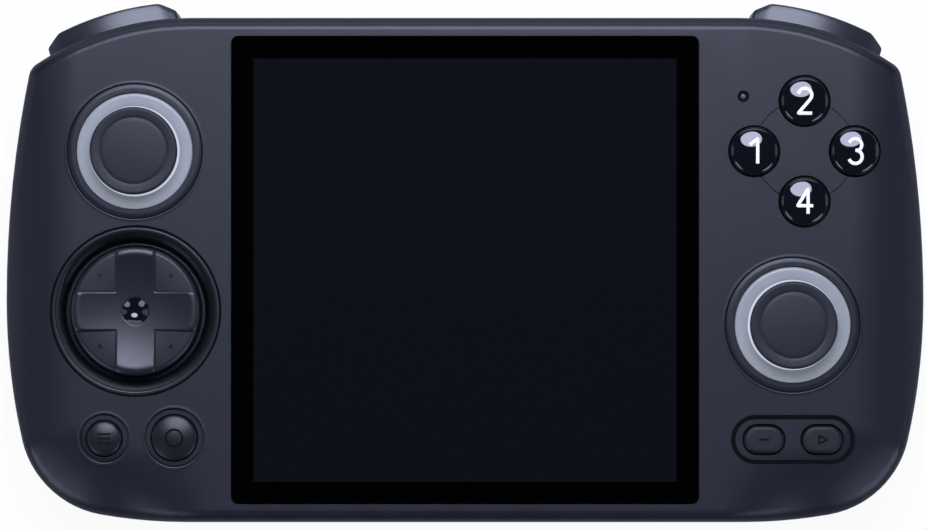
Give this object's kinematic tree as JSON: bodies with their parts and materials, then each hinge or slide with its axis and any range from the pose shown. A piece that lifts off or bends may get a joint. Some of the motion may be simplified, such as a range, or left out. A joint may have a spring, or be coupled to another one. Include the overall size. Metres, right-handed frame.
{
  "type": "handheld game console",
  "caption": "Handheld game console: square screen between two thumb sticks with light rings, a round cross pad, face buttons and shoulder buttons on a charcoal body with grips.",
  "frame": {"origin": "under the middle of the whole body, on the plane that the two grips rest on", "axes": "+X to the right across the face, +Y up the face to the top edge and shoulder buttons, +Z out of the face"},
  "size_m": [0.155, 0.0874, 0.0282],
  "materials": {
    "shell": "fine satin texture",
    "glass": "polished, black border",
    "adhesive": "thin black tape",
    "display": "dark display, switched off",
    "board": "green solder mask",
    "shield": "plain",
    "battery": "plain wrap",
    "speaker": "plain",
    "pad": "satin with a gloss cross",
    "membrane": "translucent grey silicone",
    "small_buttons": "satin",
    "face_buttons": "polished black",
    "shell_keys": "satin",
    "steel": "plain stamped steel",
    "socket": "moulded black",
    "light_pipe": "clear pipe",
    "screws": "blackened",
    "ring": "frosted translucent",
    "module": "moulded black",
    "yoke": "natural acetal",
    "stick": "soft matt grip",
    "shoulders": "semi-gloss"
  },
  "bodies": {
    "case": {"front_cover": "shell", "rear_cover": "shell", "screen_glass": "glass", "glass_adhesive": "adhesive", "display_panel": "display", "main_board": "board", "processor_shield": "shield", "battery_pack": "battery", "left_speaker": "speaker", "right_speaker": "speaker", "cross_pad_membrane": "membrane", "face_button_membrane": "membrane", "menu_membrane": "membrane", "option_membrane": "membrane", "charging_socket": "steel", "video_socket": "steel", "headphone_socket": "socket", "card_socket": "steel", "status_light": "light_pipe", "case_screws": "screws", "stick_screws": "screws", "board_screws": "screws", "left_light_ring": "ring", "left_stick_base": "module", "left_shoulder_board": "board", "left_shoulder_keys": "membrane", "left_bumper_pin": "steel", "right_light_ring": "ring", "right_stick_base": "module", "right_shoulder_board": "board", "right_shoulder_keys": "membrane", "right_bumper_pin": "steel"},
    "left_yoke": {"left_lower_yoke": "yoke"},
    "left_hub": {"left_stick_hub": "yoke"},
    "left_stick": {"left_stick_stem": "yoke", "left_stick_cap": "stick"},
    "left_arch": {"left_upper_yoke": "yoke"},
    "right_yoke": {"right_lower_yoke": "yoke"},
    "right_hub": {"right_stick_hub": "yoke"},
    "right_stick": {"right_stick_stem": "yoke", "right_stick_cap": "stick"},
    "right_arch": {"right_upper_yoke": "yoke"},
    "pad_pillar": {"cross_pad_pillar": "membrane"},
    "pad": {"cross_pad": "pad"},
    "right_button": {"right_face_button": "face_buttons"},
    "lower_button": {"lower_face_button": "face_buttons"},
    "upper_button": {"upper_face_button": "face_buttons"},
    "left_button": {"left_face_button": "face_buttons"},
    "menu": {"menu_button": "small_buttons"},
    "shortcut": {"shortcut_button": "small_buttons"},
    "select": {"select_button": "small_buttons"},
    "start": {"start_button": "small_buttons"},
    "right_bumper_body": {"right_bumper": "shoulders"},
    "right_trigger_body": {"right_trigger": "shoulders"},
    "left_bumper_body": {"left_bumper": "shoulders"},
    "left_trigger_body": {"left_trigger": "shoulders"},
    "volume": {"volume_rocker": "shell_keys"},
    "power": {"power_key": "shell_keys"}
  },
  "joints": [
    {"name": "left_stick_up_down", "type": "hinge", "parent": "case", "child": "left_yoke", "pos_m": [-0.05566, 0.01882, 0.017], "axis": [1, 0, 0], "range_deg": [-14, 14], "stiffness_Nm_per_rad": 0.03},
    {"name": "left_stick_left_right", "type": "hinge", "parent": "left_yoke", "child": "left_hub", "pos_m": [-0.05566, 0.01882, 0.017], "axis": [0, 1, 0], "range_deg": [-14, 14], "stiffness_Nm_per_rad": 0.03},
    {"name": "left_stick_click", "type": "slide", "parent": "left_hub", "child": "left_stick", "axis": [0, 0, -1], "range_m": [0, 0.0004], "stiffness_N_per_m": 1500, "springref_m": -0.0003},
    {"name": "left_arch_turn", "type": "hinge", "parent": "case", "child": "left_arch", "pos_m": [-0.05566, 0.01882, 0.017], "axis": [0, 1, 0], "range_deg": [-14, 14]},
    {"name": "right_stick_up_down", "type": "hinge", "parent": "case", "child": "right_yoke", "pos_m": [0.05521, -0.01046, 0.017], "axis": [1, 0, 0], "range_deg": [-14, 14], "stiffness_Nm_per_rad": 0.03},
    {"name": "right_stick_left_right", "type": "hinge", "parent": "right_yoke", "child": "right_hub", "pos_m": [0.05521, -0.01046, 0.017], "axis": [0, 1, 0], "range_deg": [-14, 14], "stiffness_Nm_per_rad": 0.03},
    {"name": "right_stick_click", "type": "slide", "parent": "right_hub", "child": "right_stick", "axis": [0, 0, -1], "range_m": [0, 0.0004], "stiffness_N_per_m": 1500, "springref_m": -0.0003},
    {"name": "right_arch_turn", "type": "hinge", "parent": "case", "child": "right_arch", "pos_m": [0.05521, -0.01046, 0.017], "axis": [0, 1, 0], "range_deg": [-14, 14]},
    {"name": "pad_up_down", "type": "hinge", "parent": "case", "child": "pad_pillar", "pos_m": [-0.05551, -0.00812, 0.0184], "axis": [1, 0, 0], "range_deg": [-4, 4], "stiffness_Nm_per_rad": 0.08, "deforming": ["cross_pad_membrane"]},
    {"name": "pad_left_right", "type": "hinge", "parent": "pad_pillar", "child": "pad", "pos_m": [-0.05551, -0.00812, 0.0184], "axis": [0, 1, 0], "range_deg": [-4, 4], "stiffness_Nm_per_rad": 0.08, "deforming": ["cross_pad_membrane"]},
    {"name": "right_button_press", "type": "slide", "parent": "case", "child": "right_button", "axis": [0, 0, -1], "range_m": [0, 0.0012], "stiffness_N_per_m": 800, "springref_m": -0.0003, "deforming": ["face_button_membrane"]},
    {"name": "lower_button_press", "type": "slide", "parent": "case", "child": "lower_button", "axis": [0, 0, -1], "range_m": [0, 0.0012], "stiffness_N_per_m": 800, "springref_m": -0.0003, "deforming": ["face_button_membrane"]},
    {"name": "upper_button_press", "type": "slide", "parent": "case", "child": "upper_button", "axis": [0, 0, -1], "range_m": [0, 0.0012], "stiffness_N_per_m": 800, "springref_m": -0.0003, "deforming": ["face_button_membrane"]},
    {"name": "left_button_press", "type": "slide", "parent": "case", "child": "left_button", "axis": [0, 0, -1], "range_m": [0, 0.0012], "stiffness_N_per_m": 800, "springref_m": -0.0003, "deforming": ["face_button_membrane"]},
    {"name": "menu_press", "type": "slide", "parent": "case", "child": "menu", "axis": [0, 0, -1], "range_m": [0, 0.0006], "stiffness_N_per_m": 800, "springref_m": -0.0003, "deforming": ["menu_membrane"]},
    {"name": "shortcut_press", "type": "slide", "parent": "case", "child": "shortcut", "axis": [0, 0, -1], "range_m": [0, 0.0006], "stiffness_N_per_m": 800, "springref_m": -0.0003, "deforming": ["menu_membrane"]},
    {"name": "select_press", "type": "slide", "parent": "case", "child": "select", "axis": [0, 0, -1], "range_m": [0, 0.0005], "stiffness_N_per_m": 800, "springref_m": -0.0003, "deforming": ["option_membrane"]},
    {"name": "start_press", "type": "slide", "parent": "case", "child": "start", "axis": [0, 0, -1], "range_m": [0, 0.0005], "stiffness_N_per_m": 800, "springref_m": -0.0003, "deforming": ["option_membrane"]},
    {"name": "right_bumper_press", "type": "hinge", "parent": "case", "child": "right_bumper_body", "pos_m": [0.04519, 0.03681, 0.0166], "axis": [0, 0, -1], "range_deg": [0, 3], "stiffness_Nm_per_rad": 0.1, "springref_deg": -1.15, "deforming": ["right_shoulder_keys"]},
    {"name": "right_trigger_press", "type": "hinge", "parent": "case", "child": "right_trigger_body", "pos_m": [0.05858, 0.03558, 0.0122], "axis": [-0.9593, 0.2823, 0], "range_deg": [0, 8], "stiffness_Nm_per_rad": 0.08, "springref_deg": -2.86, "deforming": ["right_shoulder_keys"]},
    {"name": "left_bumper_press", "type": "hinge", "parent": "case", "child": "left_bumper_body", "pos_m": [-0.04519, 0.03681, 0.0166], "axis": [0, 0, 1], "range_deg": [0, 3], "stiffness_Nm_per_rad": 0.1, "springref_deg": -1.15, "deforming": ["left_shoulder_keys"]},
    {"name": "left_trigger_press", "type": "hinge", "parent": "case", "child": "left_trigger_body", "pos_m": [-0.05858, 0.03558, 0.0122], "axis": [-0.9593, -0.2823, 0], "range_deg": [0, 8], "stiffness_Nm_per_rad": 0.08, "springref_deg": -2.86, "deforming": ["left_shoulder_keys"]},
    {"name": "volume_rock", "type": "hinge", "parent": "case", "child": "volume", "pos_m": [-0.025, 0.0372, 0.014], "axis": [0, 0, 1], "range_deg": [-2.5, 2.5], "stiffness_Nm_per_rad": 0.02},
    {"name": "power_press", "type": "slide", "parent": "case", "child": "power", "axis": [0, -1, 0], "range_m": [0, 0.0004], "stiffness_N_per_m": 800, "springref_m": -0.0003}
  ],
  "couplings": [
    {"joint": "left_arch_turn", "follows": "left_stick_left_right", "ratio": 1},
    {"joint": "right_arch_turn", "follows": "right_stick_left_right", "ratio": 1}
  ]
}
